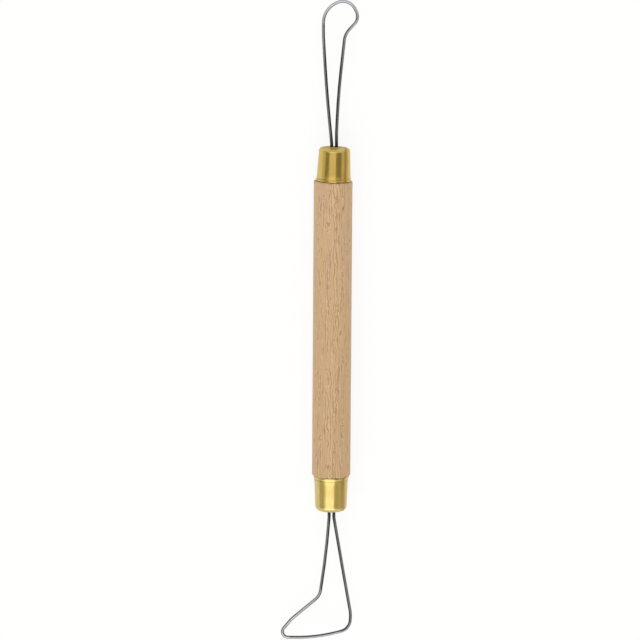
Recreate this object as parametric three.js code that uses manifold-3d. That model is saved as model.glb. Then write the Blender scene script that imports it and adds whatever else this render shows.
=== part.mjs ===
// Double-ended loop tool for clay and wax: a turned beech handle, and at each end a drawn brass
// ferrule that holds one bent loop of round steel wire. Millimetres.
//
// +X runs along the tool from the foot loop to the hook loop, and +Z is up. The tool lies on a table
// at z = 0 with both loops level, and the origin is on the table under the middle of the handle.

import * as THREE from 'three';
import { mergeVertices } from 'three/addons/utils/BufferGeometryUtils.js';
import Module from 'manifold-3d';

const wasm = await Module();
wasm.setup();

// Handle: a plain dowel with a tapered spigot turned at each end.
const handleDiameter = 12;
const handleLength = 93.3;
const hookShoulderRound = 0.25;
const footShoulderRound = 0.7;

// Ferrule: a cup drawn from brass sheet, slightly tapered, with its mouth flared out to a rim.
const ferruleLength = 10.6;
const ferruleWall = 0.4;
const ferruleTaper = 0.44;
const ferruleCornerRadius = 1.5;
const shoulderLedge = 0.45;
const rimHeight = 0.6;
const rimRound = 0.12;
const flareHeight = 1.3;
const flareDepth = 0.23;

// Wire: one length for each loop, with both legs side by side in the drilled hole. A loop's length is
// from the ferrule's closed end to the far side of its wire.
const wireDiameter = 1;
const hookLoopLength = 45.68;
const footLoopLength = 41.68;
const legGap = 0.5;
const legDepth = 17;
const legExitRadius = 8;

// Drilled hole in each spigot, a little off the handle's axis, and the set adhesive that fills it.
const holeDiameter = 3.4;
const holeOffset = 0.2;
const holePastLegs = 1.2;
const drillPointAngle = THREE.MathUtils.degToRad(118);

// Clearances between pieces that fit together.
const ferruleFit = 0.06;
const legFit = 0.12;
const adhesiveFit = 0.05;

// The corners of each wire before its bends, from the leg on the toe's side round to the other one:
// how far ahead of the ferrule, how far aside of the hole, and the radius of the bend there, all as
// shares of the loop's length. Where the two legs, still parallel, begin to part is a share too.
const hookWire = {
  length: hookLoopLength,
  firstLegParts: 0.0219,
  corners: [
    { ahead: 0.3645, aside: 0.0504, radius: 10.29 },
    { ahead: 0.7706, aside: 0.0766, radius: 1.751 },
    { ahead: 0.9391, aside: 0.0755, radius: 0.1467 },
    { ahead: 1.018, aside: -0.0952, radius: 0.0919 },
    { ahead: 0.8735, aside: -0.1675, radius: 0.0766 },
    { ahead: 0.7673, aside: -0.069, radius: 0.1313 },
    { ahead: 0.3481, aside: -0.0252, radius: 5.254 },
  ],
  lastLegParts: 0.0941,
};
const footWire = {
  length: footLoopLength,
  firstLegParts: 0.0624,
  corners: [
    { ahead: 0.3431, aside: 0.036, radius: 6.238 },
    { ahead: 0.6682, aside: 0.0852, radius: 0.108 },
    { ahead: 0.8505, aside: 0.2975, radius: 0.3359 },
    { ahead: 0.9849, aside: 0.4103, radius: 0.0432 },
    { ahead: 0.9933, aside: 0.1176, radius: 1.2 },
    { ahead: 0.9213, aside: -0.1404, radius: 0.0936 },
    { ahead: 0.8133, aside: -0.1512, radius: 0.2639 },
    { ahead: 0.4738, aside: -0.09, radius: 7.678 },
  ],
  lastLegParts: 0.072,
};

// Faceting of the round forms.
const turnedFacets = 48;
const drilledFacets = 24;
const wireFacets = 12;
const turnPerBendStep = THREE.MathUtils.degToRad(9);
const pointsPerCurve = 5;

// Sizes that follow from the ones above.
const handleRadius = handleDiameter / 2;
const wireRadius = wireDiameter / 2;
const holeRadius = holeDiameter / 2;
const legAside = (wireDiameter + legGap) / 2;
const rimRadius = handleRadius - shoulderLedge;
const flareTop = rimHeight + flareHeight;
const punchedHoleRadius = legAside + wireRadius + legFit;
const spigotLength = ferruleLength - ferruleWall;
const spigotCornerRadius = ferruleCornerRadius - ferruleWall - ferruleFit;
const holeDepth = legDepth + holePastLegs;
const drillPointLength = holeRadius / Math.tan(drillPointAngle / 2);

const beech = new THREE.MeshStandardMaterial({ color: 0xc5a681, roughness: 0.5, metalness: 0 });
const brass = new THREE.MeshStandardMaterial({ color: 0xd0b46f, roughness: 0.2, metalness: 1 });
const steelWire = new THREE.MeshStandardMaterial({ color: 0x9a9a9c, roughness: 0.25, metalness: 1 });
const setAdhesive = new THREE.MeshStandardMaterial({ color: 0x5f4528, roughness: 0.3, metalness: 0 });

// Outer radius of the ferrule's drawn body, at a height above its mouth.
function bodyRadius(height) {
  return rimRadius - flareDepth - (ferruleTaper * height) / ferruleLength;
}

// A round form turned about the Y axis. The profile is a path of radius and height that starts and
// ends on the axis. A flat facet, and not an edge, faces straight down and straight up.
function turned(profile, facets) {
  const points = profile.getPoints(pointsPerCurve);
  return new THREE.LatheGeometry(points, facets, Math.PI / facets);
}

// The geometry as a solid that can be joined or cut, with the shared corners merged.
function solidOf(geometry) {
  const bare = geometry.clone();
  bare.deleteAttribute('normal');
  bare.deleteAttribute('uv');
  const merged = mergeVertices(bare, 1e-5);
  const corners = merged.index.array;
  const kept = [];
  for (let i = 0; i < corners.length; i += 3) {
    const [a, b, c] = corners.slice(i, i + 3);
    if (a !== b && b !== c && c !== a) {
      kept.push(a, b, c);
    }
  }
  return new wasm.Manifold(new wasm.Mesh({
    numProp: 3,
    vertProperties: new Float32Array(merged.attributes.position.array),
    triVerts: new Uint32Array(kept),
  }));
}

// The solid back as a geometry with flat-shaded faces.
function geometryOf(solid) {
  const mesh = solid.getMesh();
  const geometry = new THREE.BufferGeometry();
  geometry.setAttribute('position', new THREE.BufferAttribute(mesh.vertProperties, 3));
  geometry.setIndex(new THREE.BufferAttribute(mesh.triVerts, 1));
  geometry.computeVertexNormals();
  return geometry;
}

// A straight round tool that cuts a hole along Y: a drill with its point down, or a flat punch.
function cutter(radius, bottom, top, pointLength) {
  const profile = new THREE.Path();
  profile.moveTo(0, bottom - pointLength);
  profile.lineTo(radius, bottom);
  profile.lineTo(radius, top);
  profile.lineTo(0, top);
  return turned(profile, drilledFacets);
}

// One end of the handle's profile, from the face of the spigot to the rounded shoulder, as a list of
// points of radius and distance past the shoulder.
function spigotPoints(shoulderRound) {
  const spigotRadius = (height) => bodyRadius(height) - ferruleWall - ferruleFit;
  const cornerStart = spigotLength - spigotCornerRadius;
  const corner = new THREE.Path();
  corner.moveTo(0, spigotLength);
  corner.lineTo(spigotRadius(cornerStart) - spigotCornerRadius, spigotLength);
  corner.quadraticCurveTo(
    spigotRadius(spigotLength), spigotLength, spigotRadius(cornerStart), cornerStart,
  );
  corner.lineTo(spigotRadius(0), 0);
  corner.lineTo(handleRadius - shoulderRound, 0);
  corner.quadraticCurveTo(handleRadius, 0, handleRadius, -shoulderRound);
  return corner.getPoints(pointsPerCurve);
}

// The dowel, turned in one with its two spigots, and then drilled from both ends.
function handleGeometry() {
  const half = handleLength / 2;
  const hookEnd = spigotPoints(hookShoulderRound).map((p) => new THREE.Vector2(p.x, half + p.y));
  const footEnd = spigotPoints(footShoulderRound).map((p) => new THREE.Vector2(p.x, -half - p.y));
  const points = [...footEnd, ...hookEnd.reverse()];
  const dowel = new THREE.LatheGeometry(points, turnedFacets, Math.PI / turnedFacets);
  const face = half + spigotLength;
  const bottom = half + ferruleFit + ferruleLength - holeDepth;
  const drill = cutter(holeRadius, bottom, face + 1, drillPointLength);
  const hookDrill = drill.clone().translate(holeOffset, 0, 0);
  const footDrill = drill.clone().rotateX(Math.PI).translate(holeOffset, 0, 0);
  return geometryOf(solidOf(dowel).subtract(solidOf(hookDrill)).subtract(solidOf(footDrill)));
}

// The drawn cup: its mouth is at y = 0 and its closed end at y = ferruleLength, punched for the legs.
function ferruleGeometry(offset) {
  const cornerStart = ferruleLength - ferruleCornerRadius;
  const innerRadius = (height) => bodyRadius(height) - ferruleWall;
  const innerCorner = ferruleCornerRadius - ferruleWall;
  const profile = new THREE.Path();
  profile.moveTo(0, ferruleLength - ferruleWall);
  profile.lineTo(innerRadius(cornerStart) - innerCorner, ferruleLength - ferruleWall);
  profile.quadraticCurveTo(
    innerRadius(ferruleLength), ferruleLength - ferruleWall, innerRadius(cornerStart), cornerStart,
  );
  profile.lineTo(innerRadius(flareTop), flareTop);
  profile.quadraticCurveTo(innerRadius(rimHeight), rimHeight, rimRadius - ferruleWall, 0);
  profile.lineTo(rimRadius - rimRound, 0);
  profile.quadraticCurveTo(rimRadius, 0, rimRadius, rimRound);
  profile.lineTo(rimRadius, rimHeight - rimRound);
  profile.quadraticCurveTo(rimRadius, rimHeight, rimRadius - rimRound, rimHeight);
  profile.quadraticCurveTo(bodyRadius(rimHeight), rimHeight + rimRound, bodyRadius(flareTop), flareTop);
  profile.lineTo(bodyRadius(cornerStart), cornerStart);
  profile.quadraticCurveTo(
    bodyRadius(ferruleLength), ferruleLength,
    bodyRadius(cornerStart) - ferruleCornerRadius, ferruleLength,
  );
  profile.lineTo(0, ferruleLength);
  const punch = cutter(punchedHoleRadius, cornerStart, ferruleLength + 1, 0);
  punch.translate(offset, 0, 0);
  return geometryOf(solidOf(turned(profile, turnedFacets)).subtract(solidOf(punch)));
}

// The adhesive that has set in the drilled hole, open where the two legs went in. Its face is at y = 0.
function adhesiveGeometry() {
  const radius = holeRadius - adhesiveFit;
  const faceToFerruleEnd = ferruleWall + ferruleFit;
  const bottom = -(holeDepth - faceToFerruleEnd - adhesiveFit);
  const legBottom = -(legDepth - faceToFerruleEnd + adhesiveFit);
  const plug = solidOf(cutter(radius, bottom, 0, drillPointLength));
  const channel = cutter(wireRadius + adhesiveFit, legBottom, 1, 0);
  const first = solidOf(channel.clone().translate(legAside, 0, 0));
  const last = solidOf(channel.clone().translate(-legAside, 0, 0));
  return geometryOf(plug.subtract(first).subtract(last));
}

// The centre line of a wire bent at each of its corners: straight runs joined by true arcs. It is
// held as stations, closer together round a bend, and the curve's parameter counts them.
class BentWire extends THREE.Curve {
  constructor(corners) {
    super();
    this.stations = [];
    const radii = BentWire.radiiThatFit(corners);
    const last = corners.length - 1;
    this.addStation(corners[0].point, corners[1].point.clone().sub(corners[0].point));
    for (let i = 1; i < last; i += 1) {
      this.addBend(corners[i - 1].point, corners[i].point, corners[i + 1].point, radii[i]);
    }
    this.addStation(corners[last].point, corners[last].point.clone().sub(corners[last - 1].point));
  }

  // How far a bend of radius 1 at b reaches along each of its two straight runs.
  static reachPerRadius(a, b, c) {
    const turn = b.clone().sub(a).angleTo(c.clone().sub(b));
    return Math.tan(turn / 2);
  }

  // Each bend's radius, made smaller only where two neighbouring bends would run into each other.
  static radiiThatFit(corners) {
    const reach = corners.map((corner, i) => {
      const isEnd = i === 0 || i === corners.length - 1;
      const turn = isEnd ? 0 : BentWire.reachPerRadius(
        corners[i - 1].point, corner.point, corners[i + 1].point,
      );
      return turn * corner.radius;
    });
    const share = corners.map(() => 1);
    for (let i = 1; i < corners.length; i += 1) {
      const run = corners[i].point.distanceTo(corners[i - 1].point);
      const fit = Math.min(1, (0.98 * run) / (reach[i - 1] + reach[i]));
      share[i - 1] = Math.min(share[i - 1], fit);
      share[i] = Math.min(share[i], fit);
    }
    return corners.map((corner, i) => corner.radius * share[i]);
  }

  addStation(point, tangent) {
    this.stations.push({ point: point.clone(), tangent: tangent.clone().normalize() });
  }

  addBend(a, b, c, radius) {
    const before = b.clone().sub(a).normalize();
    const after = c.clone().sub(b).normalize();
    const turn = before.angleTo(after);
    const axis = before.clone().cross(after).normalize();
    const reach = radius * Math.tan(turn / 2);
    const start = b.clone().addScaledVector(before, -reach);
    const centre = start.clone().addScaledVector(axis.clone().cross(before), radius);
    const steps = Math.max(2, Math.ceil(turn / turnPerBendStep));
    for (let k = 0; k <= steps; k += 1) {
      const angle = (turn * k) / steps;
      const arm = start.clone().sub(centre).applyAxisAngle(axis, angle);
      this.addStation(centre.clone().add(arm), before.clone().applyAxisAngle(axis, angle));
    }
  }

  get steps() {
    return this.stations.length - 1;
  }

  getUtoTmapping(u) {
    return u;
  }

  between(t, key) {
    const place = t * this.steps;
    const i = Math.min(Math.floor(place), this.steps - 1);
    return this.stations[i][key].clone().lerp(this.stations[i + 1][key], place - i);
  }

  getPoint(t) {
    return this.between(t, 'point');
  }

  getTangent(t) {
    return this.between(t, 'tangent').normalize();
  }
}

// One loop, bent from a single wire: both legs stand in the drilled hole, whose mouth is at y = 0.
function loopGeometry(wire, side) {
  const { length } = wire;
  const corner = (ahead, aside, radius) => ({
    point: new THREE.Vector3(side * aside, ahead, 0), radius,
  });
  const path = new BentWire([
    corner(-legDepth, legAside, 0),
    corner(length * wire.firstLegParts, legAside, legExitRadius),
    ...wire.corners.map(({ ahead, aside, radius }) => (
      corner(length * ahead, length * aside, length * radius)
    )),
    corner(length * wire.lastLegParts, -legAside, legExitRadius),
    corner(-legDepth, -legAside, 0),
  ]);
  const section = new THREE.Shape();
  section.absarc(0, 0, wireRadius, 0, 2 * Math.PI);
  return new THREE.ExtrudeGeometry(section, {
    steps: path.steps,
    curveSegments: wireFacets / 2,
    bevelEnabled: false,
    extrudePath: path,
  });
}

// The whole tool. Each part is a named mesh, and the parts of one end share a group whose +Y points
// away from the handle.
const tool = new THREE.Group();
tool.position.z = handleRadius;

function addPart(group, name, geometry, material, x, y) {
  const part = new THREE.Mesh(geometry, material);
  part.name = name;
  part.position.set(x, y, 0);
  group.add(part);
}

function addEnd(endName, loopName, wire, side) {
  const end = new THREE.Group();
  end.position.x = -side * (handleLength / 2 + ferruleFit);
  end.rotation.z = (side * Math.PI) / 2;
  const hole = -side * holeOffset;
  addPart(end, `ferrule_${endName}`, ferruleGeometry(hole), brass, 0, 0);
  addPart(end, loopName, loopGeometry(wire, side), steelWire, hole, ferruleLength);
  const spigotFace = spigotLength - ferruleFit;
  addPart(end, `adhesive_plug_${endName}`, adhesiveGeometry(), setAdhesive, hole, spigotFace);
  tool.add(end);
}

const dowel = new THREE.Group();
dowel.rotation.z = -Math.PI / 2;
addPart(dowel, 'handle', handleGeometry(), beech, 0, 0);
tool.add(dowel);
addEnd('hook_end', 'hook_loop', hookWire, -1);
addEnd('foot_end', 'foot_loop', footWire, 1);

export default tool;
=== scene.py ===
"""A double-ended loop tool for clay and wax, lying on a pale studio floor.

The tool is a turned beech handle with a drawn brass ferrule at each end. Each ferrule holds one loop
of steel wire: a hook with a small eye at one end, and the outline of a foot at the other.

The classes hold their sizes in millimetres, and a piece is turned to metres as it is finished. +X
runs along the tool from the foot loop to the hook loop, +Z is up, and the tool lies on z = 0.
"""

import logging
import math
from dataclasses import dataclass, field
from enum import Enum

import bmesh
import bpy
from bmesh.types import BMEdge, BMesh, BMVert
from bpy.types import Material, Node, NodeSocket, NodeTree, Object
from mathutils import Matrix, Vector, noise


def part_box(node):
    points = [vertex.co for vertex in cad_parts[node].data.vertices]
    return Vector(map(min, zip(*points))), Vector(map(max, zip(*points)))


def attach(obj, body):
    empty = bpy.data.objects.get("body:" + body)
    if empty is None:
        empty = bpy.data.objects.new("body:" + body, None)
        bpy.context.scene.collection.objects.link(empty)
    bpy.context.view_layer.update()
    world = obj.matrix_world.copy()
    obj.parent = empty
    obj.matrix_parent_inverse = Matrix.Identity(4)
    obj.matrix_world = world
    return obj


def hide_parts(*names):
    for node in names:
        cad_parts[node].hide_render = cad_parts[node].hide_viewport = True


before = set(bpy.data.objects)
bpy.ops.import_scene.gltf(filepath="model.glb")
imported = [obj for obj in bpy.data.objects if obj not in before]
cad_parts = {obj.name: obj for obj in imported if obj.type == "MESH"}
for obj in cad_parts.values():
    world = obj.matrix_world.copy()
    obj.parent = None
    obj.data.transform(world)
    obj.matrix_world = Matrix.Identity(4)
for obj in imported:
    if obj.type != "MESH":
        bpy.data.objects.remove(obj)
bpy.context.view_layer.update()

LOG = logging.getLogger("loop_tool")
METRES_PER_MM = 0.001
MM_PER_METRE = 1000.0
BODY = "root"
ALONG = Vector((1.0, 0.0, 0.0))
UP = Vector((0.0, 0.0, 1.0))
NO_SLIDE = (0.0, 0.0, 0.0)

# How near points lie, in millimetres, that touch, and that are welded in a turned form.
TOUCHING = 1e-3
WELD = 1e-4

# The names of what each point of a wire remembers.
SIDE_LAYER = "inner_side"
WEAR_AND_HIGHLIGHT_LAYER = "wear_and_highlight"

Point = tuple[float, float]


class End(Enum):
    """The tool's two ends. The value is the way that the end points along X."""

    HOOK = 1
    FOOT = -1

    @property
    def word(self) -> str:
        """The end's word in the names of its pieces."""
        return self.name.lower()


class Kind(Enum):
    """The kinds of node that the finishes and the room are made from."""

    ATTRIBUTE = "ShaderNodeAttribute"
    BUMP = "ShaderNodeBump"
    COORDINATES = "ShaderNodeTexCoord"
    EMISSION = "ShaderNodeEmission"
    LIGHT_PATH = "ShaderNodeLightPath"
    MAP_RANGE = "ShaderNodeMapRange"
    MAPPING = "ShaderNodeMapping"
    MATH = "ShaderNodeMath"
    MIX = "ShaderNodeMix"
    MIX_SHADER = "ShaderNodeMixShader"
    NOISE = "ShaderNodeTexNoise"
    SEPARATE = "ShaderNodeSeparateXYZ"


SocketValue = float | tuple[float, ...] | NodeSocket | Node


def linear(hex_colour: str) -> tuple[float, float, float, float]:
    """Turns a colour as it is seen on a screen into the renderer's linear light.

    Args:
        hex_colour: an sRGB colour, such as "#C8A882".

    Returns:
        Red, green, blue and a full alpha.
    """
    channels = [int(hex_colour[i:i + 2], 16) / 255.0 for i in (1, 3, 5)]
    red, green, blue = [
        c / 12.92 if c <= 0.04045 else ((c + 0.055) / 1.055) ** 2.4 for c in channels
    ]
    return red, green, blue, 1.0


def smooth_step(value: float, start: float, end: float) -> float:
    """Eases a value into a share.

    Args:
        value: the value.
        start: where the share leaves 0.
        end: where the share reaches 1.

    Returns:
        The share, from 0 to 1.
    """
    share = min(max((value - start) / (end - start), 0.0), 1.0)
    return share * share * (3.0 - 2.0 * share)


def set_inputs(tree: NodeTree, node: Node, inputs: dict[str | int, SocketValue]) -> None:
    """Fills a node's input sockets.

    Args:
        tree: the tree that the node is in.
        node: the node to fill.
        inputs: for each socket's name or number, a constant, the socket that feeds it, or the node
            whose first output in use feeds it. A name means the socket of that name in use.
    """
    for key, value in inputs.items():
        socket = node.inputs[key] if isinstance(key, int) else next(
            s for s in node.inputs if s.enabled and s.name == key
        )
        if isinstance(value, Node):
            value = next(s for s in value.outputs if s.enabled)
        if isinstance(value, NodeSocket):
            tree.links.new(value, socket)
        else:
            socket.default_value = value


def add_node(
    tree: NodeTree,
    kind: Kind,
    inputs: dict[str | int, SocketValue] | None = None,
    **settings: str | float | bool,
) -> Node:
    """Adds a node with its settings and links.

    Args:
        tree: the tree that gets the node.
        kind: the kind of node.
        inputs: what set_inputs takes.
        settings: the node's own properties.

    Returns:
        The new node.
    """
    node = tree.nodes.new(kind.value)
    for name, value in settings.items():
        setattr(node, name, value)
    set_inputs(tree, node, inputs or {})
    return node


def new_material(name: str) -> tuple[Material, NodeTree, Node]:
    """Starts a material.

    Args:
        name: the real material's name.

    Returns:
        The material, its node tree and its Principled shader.
    """
    material = bpy.data.materials.new(name)
    material.use_nodes = True
    tree = material.node_tree
    return material, tree, tree.nodes["Principled BSDF"]


def millimetre_coordinates(tree: NodeTree, axis_height: float) -> Node:
    """The place on the object in millimetres, with Y and Z measured from the tool's axis.

    Args:
        tree: the material's tree.
        axis_height: how high the axis lies above the floor, in millimetres.

    Returns:
        The node that gives the place as a vector.
    """
    place = add_node(tree, Kind.COORDINATES)
    return add_node(tree, Kind.MAPPING, {
        "Vector": place.outputs["Object"],
        "Location": (0.0, 0.0, -axis_height),
        "Scale": (MM_PER_METRE,) * 3,
    })


def nearness(
    tree: NodeTree, value: Node | NodeSocket, middle: float, reach: float, peak: float = 1.0
) -> Node:
    """How near a value is to a middle one.

    Args:
        tree: the tree that gets the nodes.
        value: what gives the value.
        middle: where the nearness is greatest.
        reach: how far from the middle it falls to 0.
        peak: how great it is in the middle.

    Returns:
        The node with the nearness.
    """
    past_middle = add_node(tree, Kind.MATH, {0: value, 1: middle}, operation="SUBTRACT")
    off_middle = add_node(tree, Kind.MATH, {0: past_middle}, operation="ABSOLUTE")
    return add_node(tree, Kind.MAP_RANGE, {
        "Value": off_middle, "From Max": reach, "To Min": peak, "To Max": 0.0,
    })


@dataclass(frozen=True)
class Blotches:
    """A noise whose blotches are longer along the tool than across it.

    Their length and width are in millimetres. The detail says how many finer octaves are added, and
    the seed shifts the pattern, so that two of them differ.
    """

    length: float
    width: float
    detail: float = 1.0
    seed: float = 0.0

    def pattern(self, tree: NodeTree, place: Node, shift: float = 0.0) -> Node:
        """Adds the noise to a material.

        Args:
            tree: the material's tree.
            place: the node that gives the place in millimetres.
            shift: what is added to the seed.

        Returns:
            The node with the noise, from 0 to 1 about 0.5.
        """
        stretched = add_node(tree, Kind.MAPPING, {
            "Vector": place,
            "Location": (self.seed + shift,) * 3,
            "Scale": (1.0 / self.length, 1.0 / self.width, 1.0 / self.width),
        })
        return add_node(tree, Kind.NOISE, {
            "Vector": stretched, "Scale": 1.0, "Detail": self.detail,
        })


@dataclass(frozen=True)
class Layer:
    """A colour that covers its ground as a value runs from one level to another.

    At the level called none it doesn't cover it at all, and at the level called full it covers as
    much of it as its strength says.
    """

    colour: str
    strength: float = 1.0
    none: float = 0.0
    full: float = 1.0

    def over(self, tree: NodeTree, ground: Node | str, value: Node | NodeSocket) -> Node:
        """Lays the colour over a ground.

        Args:
            tree: the tree that gets the nodes.
            ground: the node with the ground's colours, or its one hex colour.
            value: what gives the value.

        Returns:
            The node with the colours as they are then.
        """
        cover = add_node(tree, Kind.MAP_RANGE, {
            "Value": value, "From Min": self.none, "From Max": self.full, "To Max": self.strength,
        })
        return add_node(tree, Kind.MIX, {
            "Factor": cover,
            "A": linear(ground) if isinstance(ground, str) else ground,
            "B": linear(self.colour),
        }, data_type="RGBA")


@dataclass(frozen=True)
class Layout:
    """Where the solids of the frame lie, in millimetres."""

    axis_height: float
    mouth: float
    closed_end: float
    hole_aside: float
    leg_bottom: float

    @classmethod
    def from_frame(cls) -> "Layout":
        """Reads the layout from the frame's boxes.

        Returns:
            The layout.
        """
        handle_low, handle_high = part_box("handle")
        ferrule_low, ferrule_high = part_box("ferrule_hook_end")
        plug_low, plug_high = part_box("adhesive_plug_hook_end")
        loop_low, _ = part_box("hook_loop")
        return cls(
            axis_height=(handle_low.z + handle_high.z) / 2 * MM_PER_METRE,
            mouth=ferrule_low.x * MM_PER_METRE,
            closed_end=ferrule_high.x * MM_PER_METRE,
            hole_aside=(plug_low.y + plug_high.y) / 2 * MM_PER_METRE,
            leg_bottom=loop_low.x * MM_PER_METRE,
        )


@dataclass(frozen=True)
class GrainLines:
    """One kind of line in the wood: how many there are round the dowel, and how they sway.

    The sway's reach is counted in lines, from one side to the other.
    """

    count: float
    sway: Blotches
    sway_reach: float
    seed: float


@dataclass(frozen=True)
class BeechFinish:
    """Beech, turned, sanded fine and sealed thinly.

    To the eye it is a warm tan with a soft sheen. Thin dark lines of growth and of vessels wander
    along the grain, each with a painted highlight beside it, as of raised grain catching the light, and
    a few short brown ray flecks lie between them. The wood is darker brown in ragged teeth at the edge
    of each shoulder. Real lines are about 0.1 mm wide and would be too fine to show, so they are drawn
    three times as wide.

    Lengths are in millimetres, and the two pairs of widths are counted in widths of a line, from its
    middle. dark_widths says where its dark part starts to fade and where it ends, and pale_widths
    gives the middle and the reach of the painted highlight. fading_edge is where in the fading noise a
    line starts to show and shows in full. torn_teeth is where in its noise a tooth starts and is
    deepest, torn_reach how far it then reaches, and torn_edges how far short of the shoulder the darker
    brown starts to show and shows in full.
    """

    layout: Layout
    tone: str = "#C4A381"
    foot_tone: str = "#BD9D78"
    cloud: Blotches = Blotches(22.0, 3.0, detail=2.0, seed=11.0)
    cool_cloud: Layer = Layer("#BC9C84", strength=0.6, none=0.4, full=0.65)
    fibre: Blotches = Blotches(12.0, 0.36, detail=2.0, seed=5.0)
    dark_fibre: Layer = Layer("#84603A", strength=0.14, none=0.5, full=0.25)
    pale_fibre: Layer = Layer("#D7BA93", strength=0.16, none=0.5, full=0.75)
    growth: GrainLines = GrainLines(15.0, Blotches(18.0, 5.5), sway_reach=2.0, seed=3.0)
    vessels: GrainLines = GrainLines(46.0, Blotches(7.0, 3.0), sway_reach=2.2, seed=23.0)
    kink: Blotches = Blotches(1.3, 0.7, detail=0.0)
    kink_reach: float = 0.75
    line_width: float = 0.27
    dark_widths: Point = (0.2, 0.7)
    pale_widths: Point = (1.3, 0.8)
    dark_line: Layer = Layer("#84603A", strength=0.55)
    # The pale band beside each grain line is a painted highlight, as of raised grain catching the
    # light.
    line_highlight: Layer = Layer("#D7BA93", strength=0.5)
    fading: Blotches = Blotches(8.0, 1.3, seed=60.0)
    fading_edge: Point = (0.38, 0.51)
    ray_fleck: Blotches = Blotches(2.0, 0.4, seed=41.0)
    dark_fleck: Layer = Layer("#7E5C36", strength=0.8, none=0.7, full=0.74)
    pale_fleck: Layer = Layer("#D7BA93", strength=0.5, none=0.3, full=0.26)
    torn_fibre: Blotches = Blotches(6.0, 0.9, seed=51.0)
    torn_teeth: Point = (0.48, 0.66)
    torn_reach: Point = (-0.8, 0.3)
    torn_edges: Point = (0.6, 0.3)
    torn_by_hook: float = 0.4
    # Darker brown in ragged teeth at the edge of each shoulder.
    shoulder_edge_brown: Layer = Layer("#80642F", strength=0.75)
    roughness: Point = (0.44, 0.58)
    relief: float = 0.02

    def grain_lines(
        self, tree: NodeTree, place: Node, around: Node, lines: GrainLines
    ) -> tuple[Node, Node]:
        """Lines that run along the dowel, wander and kink, and fade in and out. Most of them are on
        the dowel's top and bottom, where the wood was sawn flat.

        Args:
            tree: the material's tree.
            place: the node that gives the place in millimetres.
            around: the node that gives the share of the way round the dowel.
            lines: the kind of line.

        Returns:
            How much of each place a dark line covers, and how much the painted highlight beside it
            does.
        """
        swaying = lines.sway.pattern(tree, place, lines.seed)
        kinks = self.kink.pattern(tree, place, lines.seed)
        fading = self.fading.pattern(tree, place, lines.seed)
        sway = add_node(tree, Kind.MATH, {0: swaying, 1: lines.sway_reach}, operation="MULTIPLY")
        kinked = add_node(
            tree, Kind.MATH, {0: kinks, 1: self.kink_reach, 2: sway}, operation="MULTIPLY_ADD"
        )
        at = add_node(
            tree, Kind.MATH, {0: around, 1: lines.count, 2: kinked}, operation="MULTIPLY_ADD"
        )
        off_line = add_node(tree, Kind.MATH, {0: at, 1: 0.5}, operation="PINGPONG")
        width = self.line_width * lines.count / (2.0 * math.pi * self.layout.axis_height)
        solid, edge = self.dark_widths
        dark = add_node(tree, Kind.MAP_RANGE, {
            "Value": off_line, "From Min": solid * width, "From Max": edge * width,
            "To Min": 1.0, "To Max": 0.0,
        })
        middle, reach = self.pale_widths
        pale = nearness(tree, off_line, middle * width, reach * width)
        off_face = add_node(tree, Kind.MATH, {0: around, 1: 0.25}, operation="PINGPONG")
        faded = add_node(tree, Kind.MATH, {0: fading, 1: off_face}, operation="SUBTRACT")
        present = add_node(tree, Kind.MAP_RANGE, {
            "Value": faded, "From Min": self.fading_edge[0], "From Max": self.fading_edge[1],
        })
        dark_here = add_node(tree, Kind.MATH, {0: dark, 1: present}, operation="MULTIPLY")
        pale_here = add_node(tree, Kind.MATH, {0: pale, 1: present}, operation="MULTIPLY")
        return dark_here, pale_here

    def torn_edge(self, tree: NodeTree, place: Node, along: NodeSocket) -> Node:
        """Darker brown near the edge of a shoulder, in ragged teeth, and more at the foot end.

        Args:
            tree: the material's tree.
            place: the node that gives the place in millimetres.
            along: the place along the tool.

        Returns:
            The node that says how much of the darker brown shows.
        """
        depth = add_node(tree, Kind.MAP_RANGE, {
            "Value": self.torn_fibre.pattern(tree, place),
            "From Min": self.torn_teeth[0], "From Max": self.torn_teeth[1],
            "To Min": self.torn_reach[0], "To Max": self.torn_reach[1],
        })
        shoulder = self.layout.mouth
        end = add_node(tree, Kind.MATH, {0: along}, operation="ABSOLUTE")
        reach = add_node(tree, Kind.MATH, {0: end, 1: depth}, operation="ADD")
        torn = add_node(tree, Kind.MAP_RANGE, {
            "Value": reach,
            "From Min": shoulder - self.torn_edges[0], "From Max": shoulder - self.torn_edges[1],
        })
        at_foot = add_node(tree, Kind.MAP_RANGE, {
            "Value": along, "From Max": -shoulder, "To Min": self.torn_by_hook,
        })
        return add_node(tree, Kind.MATH, {0: torn, 1: at_foot}, operation="MULTIPLY")

    def material(self) -> Material:
        """Builds the material.

        Returns:
            The material.
        """
        material, tree, shader = new_material("beech_sanded_and_sealed")
        place = millimetre_coordinates(tree, self.layout.axis_height)
        parts = add_node(tree, Kind.SEPARATE, {"Vector": place}).outputs
        clouds = self.cloud.pattern(tree, place)
        fibres = self.fibre.pattern(tree, place)
        flecks = self.ray_fleck.pattern(tree, place)
        angle = add_node(tree, Kind.MATH, {0: parts["Y"], 1: parts["Z"]}, operation="ARCTAN2")
        around = add_node(tree, Kind.MATH, {0: angle, 1: 0.5 / math.pi}, operation="MULTIPLY")
        growth = self.grain_lines(tree, place, around, self.growth)
        vessels = self.grain_lines(tree, place, around, self.vessels)
        lines, pale_lines = [
            add_node(tree, Kind.MATH, {0: one, 1: other}, operation="MAXIMUM")
            for one, other in zip(growth, vessels)
        ]

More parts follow.
